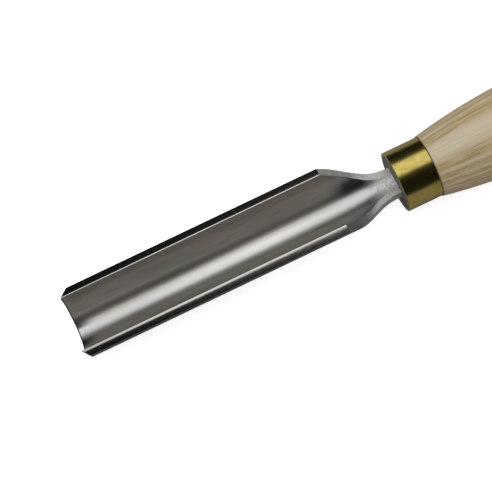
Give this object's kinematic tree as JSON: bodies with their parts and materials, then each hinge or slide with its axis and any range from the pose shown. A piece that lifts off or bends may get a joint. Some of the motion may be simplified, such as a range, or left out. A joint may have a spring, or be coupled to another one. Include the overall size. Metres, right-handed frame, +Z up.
{
  "type": "roughing gouge",
  "caption": "Wood turner's roughing gouge: half round steel flute ground square at the edge, necked down to a tang, with a brass ferrule and a turned ash handle.",
  "frame": {"origin": "on the bench under the middle of the tool as it lies at rest, flute up, on its bevel's heel and its handle's swell", "axes": "+X from the cutting edge towards the butt, +Z up and out of the flute, XZ the plane of symmetry; the tool's own axis rises 4.21 degrees from +X towards the butt"},
  "size_m": [0.4236, 0.0374, 0.0491],
  "materials": {
    "blade_steel": "ground and polished tool steel, satin inside the flute, coarser grinding on the shoulder's edges",
    "ferrule_brass": "polished brass",
    "handle_ash": "pale ash under a satin lacquer"
  },
  "bodies": {
    "root": {"blade": "blade_steel", "ferrule": "ferrule_brass", "handle": "handle_ash"}
  },
  "joints": []
}
